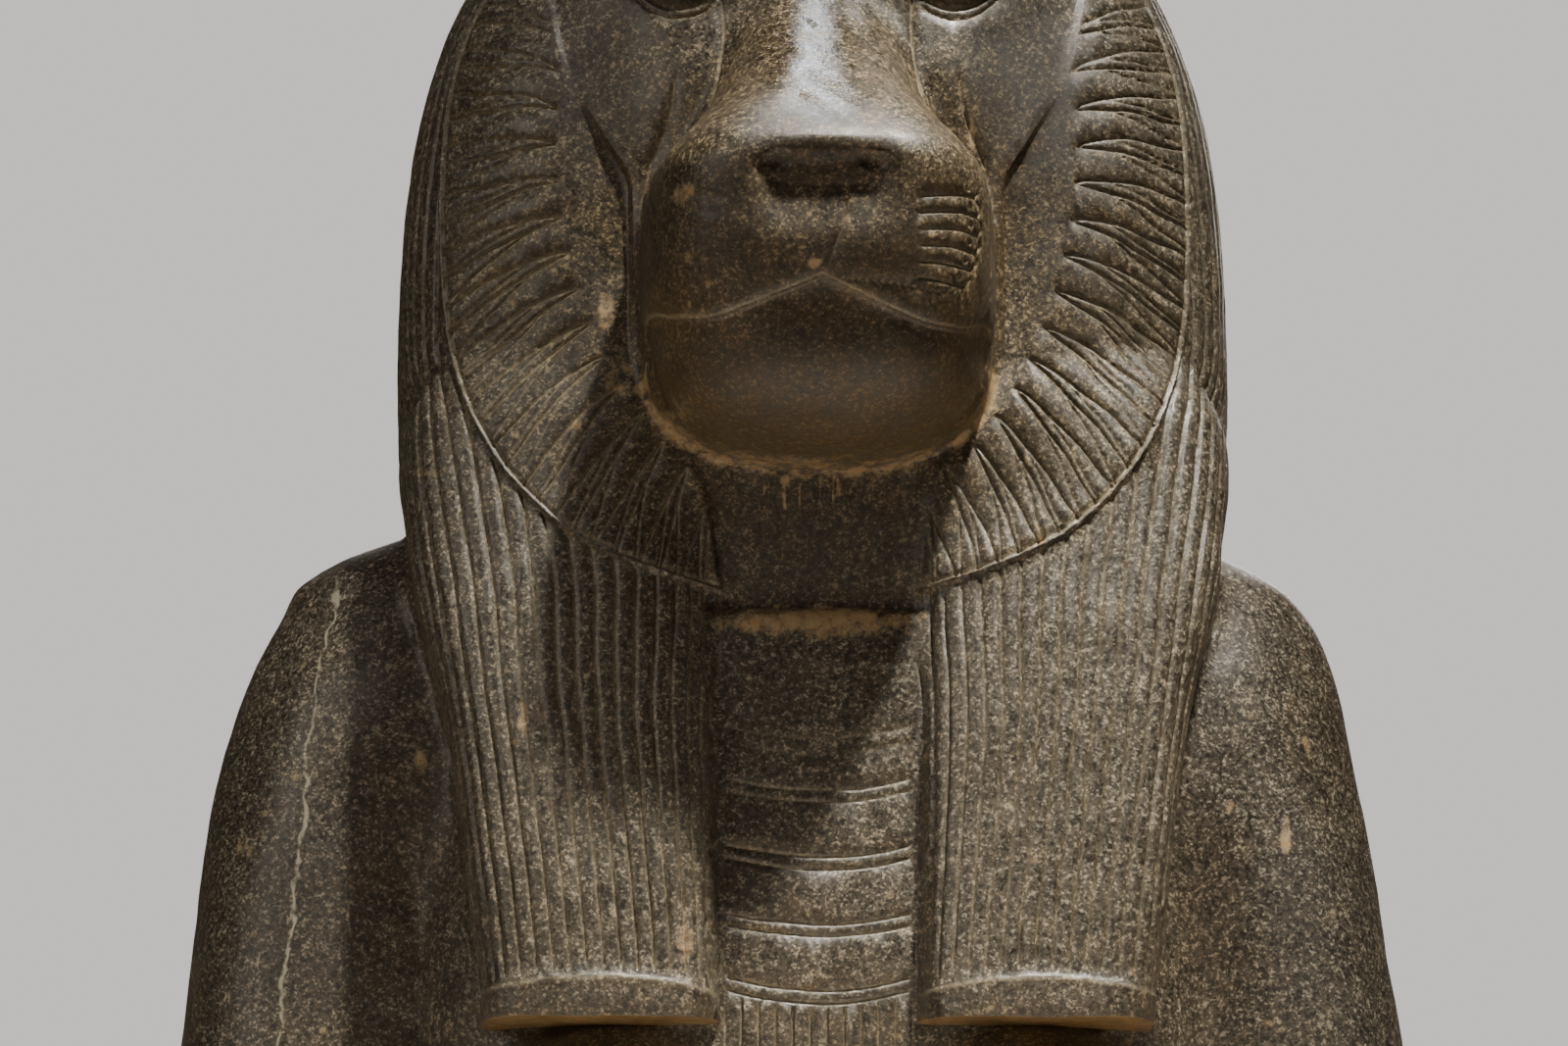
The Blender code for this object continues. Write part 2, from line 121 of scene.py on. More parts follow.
block = {
    "axisBack": (40, 20),        # how far the measuring axis stands behind the middle, at foot and crown
    "height": 603,
    "lappetFoot": 95,
    "lappetTop": 380,
    "lappetInner": 38,
    "collarTop": 257,
    "shoulderFoot": 105,
    "shoulderTop": 320,
    "chinFoot": 310,
    "snoutTop": 592,
    "faceFoot": 395,
    "faceTop": 598,
    "wigHalfWidth": 170,         # at its widest
    "wigWidest": 365,            # the level above which the wig narrows
    "domeFoot": 420,             # the level above which its front and back lean in
    "pillarTop": 560,
    "pillarHalfWidth": 72,
    "pillarMiddle": 90,
    "pillarBack": 158,
}

ear = {"middle": (112, -22, 550), "half": (34, 14, 35), "turn": 0.8}     # half sizes along, through and up


def torso(z):
    # upright barrel, its upper edge the collar's top
    return dict(low=-1, high=block["collarTop"] + 4, middle=0, power=2.5, blend=8,
                width=through(z, (0, 158), (100, 163), (170, 160), (230, 140), (256, 110), (262, 60)),
                front=through(z, (0, 98), (60, 102), (110, 103), (180, 99), (250, 94.5), (254, 93),
                              (257, 89), (260, 70), (262, 40)),
                back=through(z, (0, 98), (150, 104), (250, 95), (262, 60)))


def arms(z):
    # a pair of columns whose tops round into the shoulders
    top = rounding((z - 150) / 138, 2.0)
    half = through(z, (0, 50), (120, 48), (175, 47)) * top
    depth = through(z, (0, 62), (120, 60), (175, 58)) * top
    left = through(z, (0, 257), (95, 251), (125, 248), (160, 242), (193, 233), (230, 218), (260, 196),
                   (288, 170))
    right = through(z, (0, 242), (95, 235), (139, 227), (170, 220), (193, 212), (230, 200), (260, 184),
                    (288, 160))
    return dict(low=-1, high=287, middle=-2, power=2.2, pair=True, width=half, front=depth, back=depth,
                offset=(left - half, right - half),
                blend=through(z, (0, 10), (120, 12), (180, 26), (240, 45)))


def shoulders(z):
    # a broad yoke that slopes from the neck to the arms
    left = through(z, (105, 100), (130, 175), (160, 222), (193, 237), (230, 232), (254, 223), (270, 215),
                   (279, 211), (287, 201), (293, 190), (302, 166), (312, 120), (320, 40))
    right = through(z, (105, 100), (130, 170), (160, 206), (193, 218), (230, 215), (254, 209), (270, 201),
                    (279, 194), (287, 183), (293, 172), (302, 150), (312, 110), (320, 40))
    depth = through(z, (105, 10), (130, 24), (160, 42), (200, 56), (235, 61), (265, 58), (285, 49),
                    (300, 37), (312, 24), (320, 12))
    return dict(low=block["shoulderFoot"], high=block["shoulderTop"], middle=3, power=2.6, blend=16,
                width=left, otherWidth=right, front=depth, back=depth * 1.15)


def breasts(z):
    # two flattened balls under the lappets
    swell = rounding(np.abs(z - 46) / 49, 2)
    return dict(low=-3, high=block["lappetFoot"], middle=-85, power=2.0, pair=True, blend=12,
                width=56 * swell, front=43 * swell, back=43 * swell, offset=(80, 80))


def wigWidth(z):
    widest, half = block["wigWidest"], block["wigHalfWidth"]
    below = through(z, (150, 100), (185, 135), (230, 149), (256, 156), (280, 159.5), (300, 164),
                    (330, 168.5), (widest, half))
    return np.where(z < widest, below, half * rounding((z - widest) / (block["height"] - widest), 2.75))


def wig(z):
    # squarish sections below, rounder towards the crown
    top = block["height"]
    dome = rounding((z - block["domeFoot"]) / (top - block["domeFoot"]), 2.5)
    return dict(low=150, high=top, middle=6, blend=3, width=wigWidth(z),
                power=through(z, (180, 3.0), (300, 3.0), (440, 2.8), (560, 2.3), (top, 2.1)),
                front=dome * through(z, (150, 20), (200, 55), (256, 92), (290, 97), (330, 101), (400, 104),
                                     (430, 106), (top, 112)),
                back=dome * through(z, (150, 30), (200, 70), (260, 98), (340, 116), (420, 124)))


def lappets(z):
    # a pair of flat-fronted tails that leave the wig above the shoulders and hang to the breasts
    outer = through(z, (95, 128), (107, 129), (140, 134), (180, 139), (220, 146), (250, 154), (280, 160),
                    (305, 161), (330, 154), (350, 142), (380, 112))
    inner = through(z, (95, block["lappetInner"]), (300, block["lappetInner"]), (340, 48), (380, 84))
    middle = (outer + inner) / 2
    return dict(low=block["lappetFoot"], high=block["lappetTop"], middle=-60, pair=True,
                width=(outer - inner) / 2, offset=(middle, middle), back=42,
                front=through(z, (95, 66), (140, 63), (180, 59), (220, 54), (250, 49), (280, 42.5),
                              (300, 38.5), (320, 34), (350, 24), (380, 8)),
                power=through(z, (95, 5.5), (200, 4.5), (250, 3.6), (300, 2.8), (380, 2.4)),
                blend=through(z, (95, 3), (230, 4), (300, 14), (335, 22), (379, 1)))


def faceWidth(z):
    return through(z, (395, 50), (425, 70), (445, 81), (465, 92), (485, 98), (505, 102), (530, 104),
                   (560, 98), (580, 85), (592, 60), (598, 30))


def face(z):
    # a flat mask that stands proud of the mane
    return dict(low=block["faceFoot"], high=block["faceTop"], middle=-30, power=3.4, blend=9,
                width=faceWidth(z), back=40,
                front=through(z, (395, 40), (415, 66), (425, 72), (445, 78), (465, 79), (500, 75),
                              (530, 76), (545, 75), (560, 68), (575, 54), (588, 32), (598, 5)))


def snout(z):
    # from the flat underside of the jaw up through the muzzle to the bridge between the eyes
    chin = (350 - z) / (350 - block["chinFoot"])
    width = through(z, (310, 68), (348, 69), (385, 70), (404, 69.5), (414, 68), (421, 66.5), (430, 61.5),
                    (440, 54), (450, 47.5), (461, 43.5), (490, 37), (510, 35), (530, 37), (550, 44),
                    (590, 50))
    front = through(z, (310, 122), (330, 123), (345, 124.5), (356, 126.5), (366, 129.5), (380, 133.5),
                    (396, 137.5), (408, 140.3), (413, 141), (417, 140.5), (421, 138.8), (425, 135.8),
                    (430, 131), (438, 121.5), (461, 94), (480, 77), (500, 61), (520, 52.5), (540, 52),
                    (555, 46), (575, 30), (592, 5))
    return dict(low=block["chinFoot"], high=block["snoutTop"], middle=-50, blend=6, back=40,
                width=width * rounding(chin, 2.4), front=front * rounding(chin, 2.8),
                power=through(z, (310, 2.3), (330, 2.7), (350, 3.1), (380, 3.7), (410, 3.7), (430, 3.3),
                              (461, 3.0), (520, 2.5)))


farAway = 100      # stands for the distance to a form that doesn't reach a level


def sectionsAt(levels):
    # every loft with its sizes as columns, one line to a level that it spans
    found = []
    for makeLoft in (torso, arms, shoulders, breasts, wig, lappets, face, snout):
        loft = makeLoft(levels)
        rows = np.nonzero((levels >= loft["low"]) & (levels < loft["high"]))[0]
        for key, value in loft.items():
            if key == "offset":
                loft[key] = tuple((side + 0 * levels)[rows, None].astype(np.float32) for side in value)
            elif key not in ("low", "high", "middle", "pair"):
                loft[key] = (value + 0 * levels)[rows, None].astype(np.float32)
        loft["rows"] = slice(rows[0], rows[-1] + 1)
        found.append(loft)
    return found


def loftDistance(x, y, loft):
    # (superellipse gauge - 1) times the smaller half size
    left, right = loft.get("offset", (0, 0))
    across = np.abs(x) - np.where(x < 0, left, right) if loft.get("pair") else x
    width = np.where(x < 0, loft["width"], loft.get("otherWidth", loft["width"]))
    back = y - loft["middle"]
    depth = np.where(back < 0, loft["front"], loft["back"])
    width, depth = np.maximum(width, 0.1), np.maximum(depth, 0.1)
    power = loft["power"]
    size = ((np.abs(across) / width) ** power + (np.abs(back) / depth) ** power) ** (1 / power)
    return (size - 1) * np.minimum(width, depth)


def earDistance(x, y, z):
    # a flattened ball turned half outward
    turn = ear["turn"]
    across, back, up = np.abs(x) - ear["middle"][0], y - ear["middle"][1], z - ear["middle"][2]
    along = across * np.cos(turn) + back * np.sin(turn)
    thick = back * np.cos(turn) - across * np.sin(turn)
    length, thickness, height = ear["half"]
    return (np.sqrt((along / length) ** 2 + (up / height) ** 2 + (thick / thickness) ** 2) - 1) * thickness


def pillarDistance(x, y, z):
    # an upright slab behind, box distance from its sides
    middle = block["pillarMiddle"]
    fromSide = np.abs(x) - block["pillarHalfWidth"]
    sides = np.maximum(fromSide, np.abs(y - middle) - (block["pillarBack"] - middle))
    return np.where(z < block["pillarTop"], sides, farAway)


def bareSurface(levels, bearings):
    # each point lies on a level ray from the axis: P = axis + r (sin b, -cos b), r found by walking inward
    lofts = sectionsAt(levels)
    z = (levels[:, None] + 0 * bearings).astype(np.float32)
    sine, cosine = np.sin(bearings).astype(np.float32), np.cos(bearings).astype(np.float32)
    foot, crown = block["axisBack"]
    startBack = (foot - (foot - crown) * ease(z, 420, 560)).astype(np.float32)
    reach = np.full(z.shape, 340, np.float32)
    earRows = slice(*np.searchsorted(levels, (505, 600)))
    earBlend, pillarBlend = 8, 3
    for _ in range(40):
        x, y = reach * sine, startBack - reach * cosine
        distance = np.full(z.shape, farAway, np.float32)
        for loft in lofts:
            rows = loft["rows"]
            distance[rows] = merge(distance[rows], loftDistance(x[rows], y[rows], loft), loft["blend"])
        toEar = earDistance(x[earRows], y[earRows], z[earRows])
        distance[earRows] = merge(distance[earRows], toEar, earBlend)
        distance = merge(distance, pillarDistance(x, y, z), pillarBlend)
        reach = np.maximum(reach - 0.9 * np.clip(distance, -20, 50), 0.5)
    return np.stack([reach * sine, startBack - reach * cosine, z]).astype(float)


def normals(points):
    # cross product of the grid's two directions
    around = np.roll(points, -1, 2) - np.roll(points, 1, 2)
    upward = np.gradient(points, axis=1)
    out = np.cross(around, upward, axis=0)
    return out / np.maximum(np.linalg.norm(out, axis=0), 1e-9)


# The carving: each function gives a height along the normal, and how dusty its cuts are

carving = {
    "grooveDepth": 1.35,         # of the wig's ribs
    "grooveWidth": 2.7,
    "ribPitch": 7.4,
    "knownRib": 12,              # the rib whose course is given, counted from the lappet's inner edge
    "bandHeight": 15.5,          # plain band at the foot of a lappet, lower by bandSag at its ends
    "bandSag": 5.5,
    "ruffInner": (102, 160, 451),
    "ruffOuter": (150, 168, 430),
    "ruffTop": 150,
    "ruffPower": 2.6,
    "ruffRaised": 1.6,
    "ruffHollow": 5,
    "lockPitch": 15.2,           # from lock to lock along the inner ring
    "lockCentre": 441,           # the level that the locks point away from
    "tuftDepth": 1.15,
    "tuftWidth": 1.9,
    "collarLines": ((236.5, 0.3), (230.5, 0.25), (210, 0.45), (204, 0.3), (189.5, 0.7), (185, 0.6),
                    (164, 1.0), (159, 0.9), (137.5, 1.0), (133, 1.0), (112.3, 1.1), (107.5, 1.1)),
    "collarSag": 5.5,
    "collarDepth": 1.15,
    "petalPitch": 6.5,
    "petalFoot": 66,
    "mouthWidth": 2.3,
    "mouthDepth": 1.4,
    "lipStep": 2.2,              # the lower lip stands this far behind the upper one
    "nosePad": (25.4, 10.5, 410.5, 2.4),     # half width, half height, middle, power
    "whiskerPitch": 6.3,
    "whiskerFoot": 367,
    "whiskerDepth": 1.05,
    "whiskersWorn": 0.12,        # what is left of them on the worn side
    "eyeLevel": 507.5,
    "eyeInner": 37,
    "eyeLength": 38,
    "eyeBulge": 2.4,
}


def runningMean(values, reach):
    # mean over `reach` rows up and down
    total = np.cumsum(np.pad(values, ((reach + 1, reach), (0, 0)), mode="edge"), axis=0)
    return (total[2 * reach + 1:] - total[:-2 * reach - 1]) / (2 * reach + 1)


def ribNumber(points):
    # rib = known rib + (arc length from the known rib) / pitch on each level and side, evened along z
    x, y, z = points
    levels = z[:, 0]
    rows = np.arange(len(levels))
    narrowed = np.maximum(wigWidth(levels), 30) / block["wigHalfWidth"]
    narrowing = np.where(levels < block["wigWidest"], 1, narrowed)
    known = narrowing * through(levels, (95, 111), (107, 112), (180, 121.5), (240, 130.5), (262, 133),
                                (296, 139), (330, 144.5), (376, 152), (603, 152))
    pitch = narrowing * through(levels, (95, 6.2), (200, 6.9), (250, 7.7), (300, 8.3), (400, 9), (603, 9))
    front = np.argmin(np.abs(x[0]) + (y[0] > 0) * 999)
    number = np.zeros_like(x)
    columns = x.shape[1]
    for side in (1, -1):
        order = (front + side * np.arange(columns // 2 + 1)) % columns
        sideX, sideY = np.abs(x[:, order]), y[:, order]
        run = np.hypot(np.diff(sideX, axis=1), np.diff(sideY, axis=1))
        run = np.concatenate([np.zeros((len(rows), 1)), np.cumsum(run, axis=1)], axis=1)
        past = np.maximum(np.argmax(sideX > known[:, None], axis=1), 1)
        before, after = sideX[rows, past - 1], sideX[rows, past]
        share = np.clip((known - before) / np.maximum(after - before, 1e-6), 0, 1)
        start = run[rows, past - 1] + share * (run[rows, past] - run[rows, past - 1])
        number[:, order] = carving["knownRib"] + (run - start[:, None]) / pitch[:, None]
    near, wide = runningMean(number, 5), runningMean(number, 70)
    return near + (wide - near) * ease(y, -70, -20)


def ribs(points, wobble, outsideRuff):
    # bands parted by grooves: height = -depth cut(distance to the nearest groove) - 0.25 (1 - |sin(pi rib)|)
    x, y, z = points
    across = np.abs(x)
    foot = block["lappetFoot"] + carving["bandHeight"] - carving["bandSag"] * ((across - 83) / 45) ** 2
    foot = np.maximum(foot, block["lappetFoot"] + 9)
    outer = np.where(z < 340, through(z, (95, 128), (140, 134), (180, 139), (220, 146), (250, 155),
                                      (280, 163), (300, 168), (340, 172)), 400)
    onWig = np.maximum(ease(across, 37, 39), ease(y, 40, 60)) * (1 - ease(across, outer + 1, outer + 3))
    lowEdge = through(y, (-20, 305), (50, 300), (90, 264))
    onWig *= np.maximum(ease(-y, 40, 50), ease(z, lowEdge, lowEdge + 8)) * (1 - ease(z, 535, 570))
    pillar = block["pillarHalfWidth"]
    onWig *= 1 - ease(y, 50, 60) * (1 - ease(across, pillar + 2, pillar + 5))
    onWig *= ease(z, foot + 0.8, foot + 4.5) * outsideRuff
    onWig[(across < faceWidth(z) + 4) & (y < -20) & (z > 290)] = 0
    number = ribNumber(points) + 0.035 * wobble
    groove = cut((number - np.round(number)) * carving["ribPitch"], carving["grooveWidth"])
    swell = 1 - np.abs(np.sin(np.pi * number))
    depth = carving["grooveDepth"] * (1 + 0.2 * wobble)
    onBand = ease(across, 38, 40) * (1 - ease(across, 126, 129)) * ease(-y, 60, 80) * (z < foot)
    rim = onBand * (0.6 + 0.3 * cut(z - foot + 1.6, 2.6))
    lime = onWig * groove * through(x, (-60, 0.8), (40, 0.45)) + onBand * cut(z - foot + 1.2, 2.2)
    return rim - onWig * (depth * groove + 0.25 * swell), lime


def tufts(x, z, share, jaw, wobble):
    # locks: two lines open from each root as +-0.25 share^0.75, and two finer ones slant across
    half, tall = carving["ruffInner"][:2]
    centre = carving["lockCentre"]
    angle = np.arctan2(np.abs(x) / half, (centre - z) / tall)
    steps = np.linspace(0, np.pi, 200)
    arc = np.cumsum(np.hypot(half * np.cos(steps), tall * np.sin(steps))) * (steps[1] - steps[0])
    turn = np.interp(angle, steps, arc) / carving["lockPitch"]
    ringRadius = np.hypot(half * np.sin(angle), tall * np.cos(angle))
    width = carving["lockPitch"] * np.hypot(x, z - centre) / ringRadius
    lines = np.zeros_like(x)
    spread = 0.25 * share ** 0.75
    outer = np.clip((share - 0.42) / 0.58, 0, 1)
    broad = carving["tuftWidth"]
    for root in (-1, 0, 1):
        place = turn - np.floor(turn) - root - 0.12 * np.sin(np.pi * share) + 0.03 * wobble
        for line in (spread, -spread):
            lines = np.maximum(lines, cut((place - line) * width, broad))
        for high, low in ((0.13, -0.17), (0.87, 0.33)):
            fine = cut((place - high + (high - low) * outer) * width, broad * 0.75)
            lines = np.maximum(lines, 0.7 * fine * ease(outer, 0, 0.05))
    return lines * ease(share, 0.0, 0.05) * ease(np.abs(x), jaw + 2, jaw + 5)


def ruff(points, jaw, wobble):
    # the mane's disc: raised inside its border, hollow beside the jaw, and cut into locks
    x, y, z = points
    across = np.abs(x)
    inner = gauge(x, z, *carving["ruffInner"], 2.0)
    width, low, middle = carving["ruffOuter"]
    height = np.where(z < middle, low, carving["ruffTop"])
    outer = gauge(x, z, width, height, middle, carving["ruffPower"]) + 0.0012 * wobble
    forward = ease(-y, 20, 40) * ease(z, 262, 264)
    outside = 1 - (1 - ease(outer, 1.0, 1.008)) * forward
    edge = np.maximum(jaw, block["lappetInner"] - 2)
    beside = ease(across, edge, edge + 3)
    within = (1 - ease(outer, 0.998, 1.004)) * forward * beside
    share = np.maximum(inner - 1, 0) / (np.maximum(inner - 1, 0) + 0.75 * np.maximum(1 - outer, 0) + 1e-6)
    border = cut(outer - 0.988, 0.016) * forward * beside
    locks = tufts(x, z, share, jaw, wobble) * within * (share < 0.985)
    hollow = (1 - ease(inner, 0.78, 1.05)) * ease(-y, 20, 40) * ease(z, 250, 300) * beside
    relief = carving["ruffRaised"] * within - 1.2 * border - carving["ruffHollow"] * hollow
    relief -= carving["tuftDepth"] * (1 + 0.15 * wobble) * locks
    return relief, np.maximum(locks * through(x, (-60, 1.25), (40, 0.8)), border), outside


def collar(points, wobble):
    # pairs of lines on z + sag (1 - (x / half width)^2) = level, and a row of petals below them
    x, y, z = points
    across = np.abs(x)
    between = (1 - ease(across, 34.5, 36.5)) * ease(-y, 60, 80)
    level = z + carving["collarSag"] * (1 - (x / block["lappetInner"]) ** 2) + 0.35 * wobble
    foot, top = carving["petalFoot"], carving["collarLines"][-1][0]
    lines = np.zeros_like(x)
    for line, strength in carving["collarLines"] + ((foot, 1.0),):
        lines = np.maximum(lines, strength * cut(level - line, 2.0))
    petals = cut((x / carving["petalPitch"]) % 1 - 0.5, 0.26)
    petals *= (1 - ease(level, top - 3, top - 1)) * ease(level, foot, foot + 2)
    lines = between * np.maximum(lines, petals)
    return -carving["collarDepth"] * lines, lines


def lipLine(x):
    return through(np.abs(x), (0, 367.8), (10, 363.3), (20, 359.2), (31, 355.3), (42, 353), (50, 354),
                   (57, 356), (64, 361), (72, 365)) - 0.03 * x


def muzzle(points, wobble):
    # lips, the groove under the nose, the nose's pad and nostrils, and the swell of the upper lip
    x, y, z = points
    across, fromMiddle = np.abs(x), np.abs(x - 1)
    lip = lipLine(x) + 0.25 * wobble
    onJaw = ease(-y, 105, 112) * (1 - ease(across, 68, 76)) * (z < 420)
    mouth = onJaw * cut(z - lip, carving["mouthWidth"])
    step = onJaw * (1 - ease(z, lip - 2.2, lip + 0.2)) * ease(z, 312, 342)
    relief = -carving["lipStep"] * step - carving["mouthDepth"] * mouth
    ahead = ease(-y, 120, 135)
    under = ahead * cut(x - 2 - 7 * ease(z, 368, 392), 2.0) * ease(z, 366, 368) * (1 - ease(z, 393, 395))
    pad = gauge(x - 1, z, *carving["nosePad"])
    padEdge = ahead * cut(pad - 1.06, 0.2) * (z < 408)
    relief += 0.4 * ahead * (1 - ease(pad, 0.7, 1.05)) * (z < 430) - 0.4 * padEdge - 0.9 * under
    overhang = ease(420 - z, 0, 15) * (1 - ease(403 - z, 0, 26)) * (1 - ease(fromMiddle, 15, 33))
    relief -= 4.5 * ahead * overhang
    fromNostril = fromMiddle - 18
    nostril = np.hypot(fromNostril / 7.5, (z - 409 + fromNostril * 0.2) / 4)
    relief -= 2.4 * ahead * (1 - ease(nostril, 0.3, 1.1))
    relief += 1.4 * ahead * np.exp(-((across - 30) / 18) ** 2 - ((z - 382) / 13) ** 2)
    whiskers = ahead * whiskerLines(x, z, wobble)
    dust = np.maximum(np.maximum(1.3 * mouth, whiskers * 1.4), 0.35 * under)
    return relief - carving["whiskerDepth"] * whiskers, dust


def whiskerLines(x, z, wobble):
    # six rows with scalloped ends and a spot in each, and a line of dots along the lip
    across = np.abs(x)
    foot, pitch = carving["whiskerFoot"], carving["whiskerPitch"]
    tilted = z - (across - 47) * 0.24 * np.clip((z - foot) / 32, 0, 1) + 0.2 * wobble
    phase = ((tilted - foot) / pitch) % 1
    onRows = ease(tilted, 364, 366) * (1 - ease(tilted, 401.5, 402.5))
    end = through(z, (357, 46), (362, 49), (366, 53), (372, 56), (379, 58.5), (392, 60), (406, 58))
    rows = cut(np.abs(phase - 0.5) - 0.5, 0.21) * onRows
    rows *= ease(across, 35, 38) * (1 - ease(across, end, end + 0.8))
    scallop = cut(across - end - 1.4 * np.abs(np.sin(np.pi * phase)), 1.5) * onRows
    spots = 1 - ease(np.hypot(across - end + 3.2, (phase - 0.5) * pitch), 0.5, 1.2)
    lowRow = 365.5 - 2.5 * ease(across, 8, 45) + 4 * ease(across, 44, 52)
    dots = 1 - ease(np.hypot((across % 3.0) - 1.5, tilted - lowRow), 0.5, 1.1)
    dots *= ease(across, 9, 12) * (1 - ease(across, 48, 50))
    lines = np.maximum(np.maximum(rows, scallop), np.maximum(spots * onRows, dots) * 0.9)
    return lines * np.where(x > 0, 1.0, carving["whiskersWorn"])


def eyes(points):
    # almond balls between two arcs |z - middle| = reach sin^0.75, lid lines outside, brow and tear lines
    x, y, z = points
    across = np.abs(x)
    onFace = ease(-y, 20, 40) * (z > 410) * (z < block["faceTop"])
    middle = carving["eyeLevel"] + (across - 38) * 0.12
    lid = np.sin(np.pi * np.clip((across - carving["eyeInner"]) / carving["eyeLength"], 0, 1)) ** 0.75
    reach = np.where(z > middle, 14, 12) * lid
    away = np.abs(z - middle)
    between = ease(across, 36, 38) * (1 - ease(across, 75, 79))
    ball = np.sqrt(np.clip(1 - (away / np.maximum(reach, 0.1)) ** 2, 0, 1))
    relief = carving["eyeBulge"] * ball * between
    firstLine = cut(away - reach - 1, 2.0) * between
    secondLine = cut(away - reach - 5.2, 1.8) * between * ease(across, 40, 44)
    brow = 538 + 5 * np.sin(np.pi * np.clip((across - 20) / 75, 0, 1))
    relief += 3 * np.exp(-((z - brow) / 6.5) ** 2) * ease(across, 12, 26) * (1 - ease(across, 82, 98))
    tear = through(z, (408, 68), (421, 65.6), (430, 60.4), (439, 52.5), (446, 46.5), (461, 40.6),
                   (490, 37), (503, 38))
    tears = cut(across - tear, 1.9) * (z < 502)
    apart = through(z, (415, 2.5), (424, 3.5), (435, 9), (446, 14), (470, 17))
    secondTear = cut(across - tear - apart, 1.7) * (z < 468)
    relief -= 1.1 * firstLine + 0.9 * secondLine + 1.0 * tears + 0.7 * secondTear
    relief -= 2.5 * np.exp(-((across - 74) / 13) ** 2 - ((z - 480) / 20) ** 2)
    dust = np.maximum(np.maximum(firstLine, secondLine), np.maximum(tears, 0.7 * secondTear))
    return onFace * relief, onFace * 1.3 * dust


def jawOutline(z):
    return through(z, (262, 36), (300, 42), (311, 46), (319, 48), (332, 64), (345, 70), (356, 72),
                   (425, 72.5), (445, 83), (465, 94), (485, 100), (505, 104), (530, 106), (560, 100),
                   (580, 87), (592, 62))


def carvedSurface(levels, bearings):
    # the bare block with every relief laid on along its normals, and the dust in the cuts
    points = bareSurface(levels, bearings)
    report("bare block")
    jaw = jawOutline(points[2])
    wobble = waves(points, 28, 3)
    maneRelief, maneDust, outsideRuff = ruff(points, jaw, wobble)
    ribRelief, ribDust = ribs(points, wobble, outsideRuff)
    collarRelief, collarDust = collar(points, wobble)
    muzzleRelief, muzzleDust = muzzle(points, wobble)
    eyeRelief, eyeDust = eyes(points)
    hand = 0.22 * waves(points, 45, 5) + 0.10 * waves(points, 14, 7)
    relief = maneRelief + ribRelief + collarRelief + muzzleRelief + eyeRelief + hand
    relief *= 1 - ease(points[2], 588, 600)      # plain at the crown, where the columns meet
    dust = np.clip(maneDust + ribDust + collarDust + muzzleDust + eyeDust, 0, 1)
    report("carving")
    return points + normals(points) * relief, dust


def jawLine(points):
    # the line where the jaw meets the neck, where lime has settled: a band round a superellipse
    x, y, z = points
    line = gauge(x, z, 68, 41, 352, 2.4) - 1.02
    return cut(line, 0.19) * (z < 352) * ease(-y, 60, 75)


def gridLines():
    # levels close together where there is carving, and on both sides of each ledge
    foot, crownFoot, top, ledge = block["lappetFoot"], 540, block["height"], block["pillarTop"]
    crown = crownFoot + (top - crownFoot) * np.sin(np.arange(0, 1, 0.014) * np.pi / 2)
    crown = np.concatenate([crown[np.abs(crown - ledge) > 0.5], ledge + np.array([-0.2, 0.2])])
    crown.sort()
    levels = np.concatenate([np.arange(0, 88, 3), (90, 92, 94, foot - 0.3, foot + 0.3),
                             np.arange(foot + 1, 250, 0.75), np.arange(250, 264, 0.5),
                             np.arange(264, 345, 0.75), np.arange(345, 412, 0.5),
                             np.arange(412, crownFoot, 0.75), crown, (top - 0.1,)])
    half = np.concatenate([np.arange(0, 22, 0.14), np.arange(22, 62, 0.19), np.arange(62, 82, 0.26),
                           np.arange(82, 128, 0.4), np.arange(128, 147, 0.45), np.arange(147, 154, 0.16),
                           np.arange(154, 178.5, 1.5)])
    return levels, np.radians(np.concatenate([-half[::-1], half[1:], [180]]))


def footMiddle(low, high):
    # the middle of a box's underside
    return np.array([(low[0] + high[0]) / 2, (low[1] + high[1]) / 2, low[2]])


